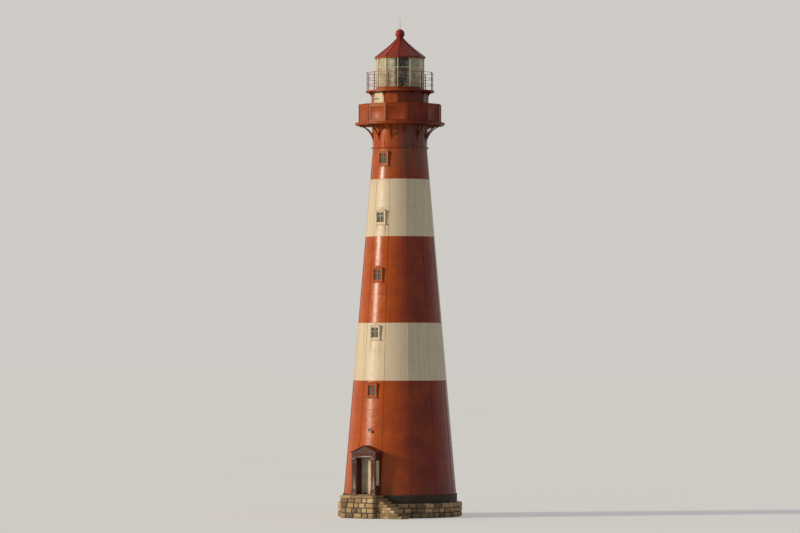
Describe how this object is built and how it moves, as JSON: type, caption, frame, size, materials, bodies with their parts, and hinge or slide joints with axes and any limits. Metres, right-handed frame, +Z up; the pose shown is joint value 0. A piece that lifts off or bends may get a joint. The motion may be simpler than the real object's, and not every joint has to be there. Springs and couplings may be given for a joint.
{
  "type": "lighthouse",
  "caption": "Tapering round iron lighthouse in red and white bands on a stone plinth, with bracketed gallery, glazed lantern and an entrance door that opens.",
  "frame": {"origin": "centre of the plinth's underside, on the tower's axis", "axes": "+Z up along the tower's axis, -Y out of the entrance door, +X to the right of someone facing the door"},
  "size_m": [8.1998, 9.0499, 32.695],
  "materials": {
    "stone": "rough rubble masonry",
    "tar_black": "tarred masonry",
    "iron_floor": "painted floor plate",
    "red_paint": "gloss paint, weathered",
    "white_paint": "gloss paint, weathered",
    "cream_paint": "gloss paint",
    "door_paint": "painted boards and panels",
    "roof_paint": "gloss paint, weathered",
    "rail_iron": "dark paint",
    "threshold_stone": "worn granite",
    "clear_glass": "clear glass",
    "lens_glass": "greenish lens glass",
    "bronze": "dark bronze"
  },
  "bodies": {
    "tower": {"plinth": "stone", "door_landing": "stone", "entrance_steps": "stone", "footing_course": "tar_black", "ground_floor": "iron_floor", "base_wall_left": "red_paint", "base_wall_right": "red_paint", "base_wall_over_door": "red_paint", "base_wall_back": "red_paint", "red_course_low": "red_paint", "white_course_low": "white_paint", "red_course_mid": "red_paint", "white_course_high": "white_paint", "red_course_top": "red_paint", "storey_floors": "iron_floor", "window_surrounds": "red_paint", "window_sashes": "cream_paint", "window_glass": "clear_glass", "portal_jambs": "red_paint", "portal_head": "red_paint", "door_threshold": "threshold_stone", "door_frame": "red_paint", "door_lamp": "rail_iron", "ledge_moulding": "red_paint", "neck_wall": "red_paint", "gallery_brackets": "red_paint", "gallery_deck": "red_paint", "parapet_posts": "red_paint", "parapet_panels": "red_paint", "parapet_handrail": "red_paint", "drum_wall": "red_paint", "gallery_door": "cream_paint", "drum_brackets": "red_paint", "lantern_deck": "red_paint", "lantern_rail": "rail_iron", "lantern_sill": "red_paint", "lantern_bars": "cream_paint", "lantern_glass": "clear_glass", "lens": "lens_glass", "lens_pedestal": "bronze", "lantern_cornice": "red_paint", "roof": "roof_paint", "ball_vent": "roof_paint", "lightning_rod": "rail_iron"},
    "entrance_door": {"door_leaf": "door_paint"}
  },
  "joints": [
    {"name": "entrance_door_hinge", "type": "hinge", "parent": "tower", "child": "entrance_door", "pos_m": [-0.5235, -3.43432, 2.67], "axis": [0, 0, 1], "range_deg": [0, 100]}
  ]
}
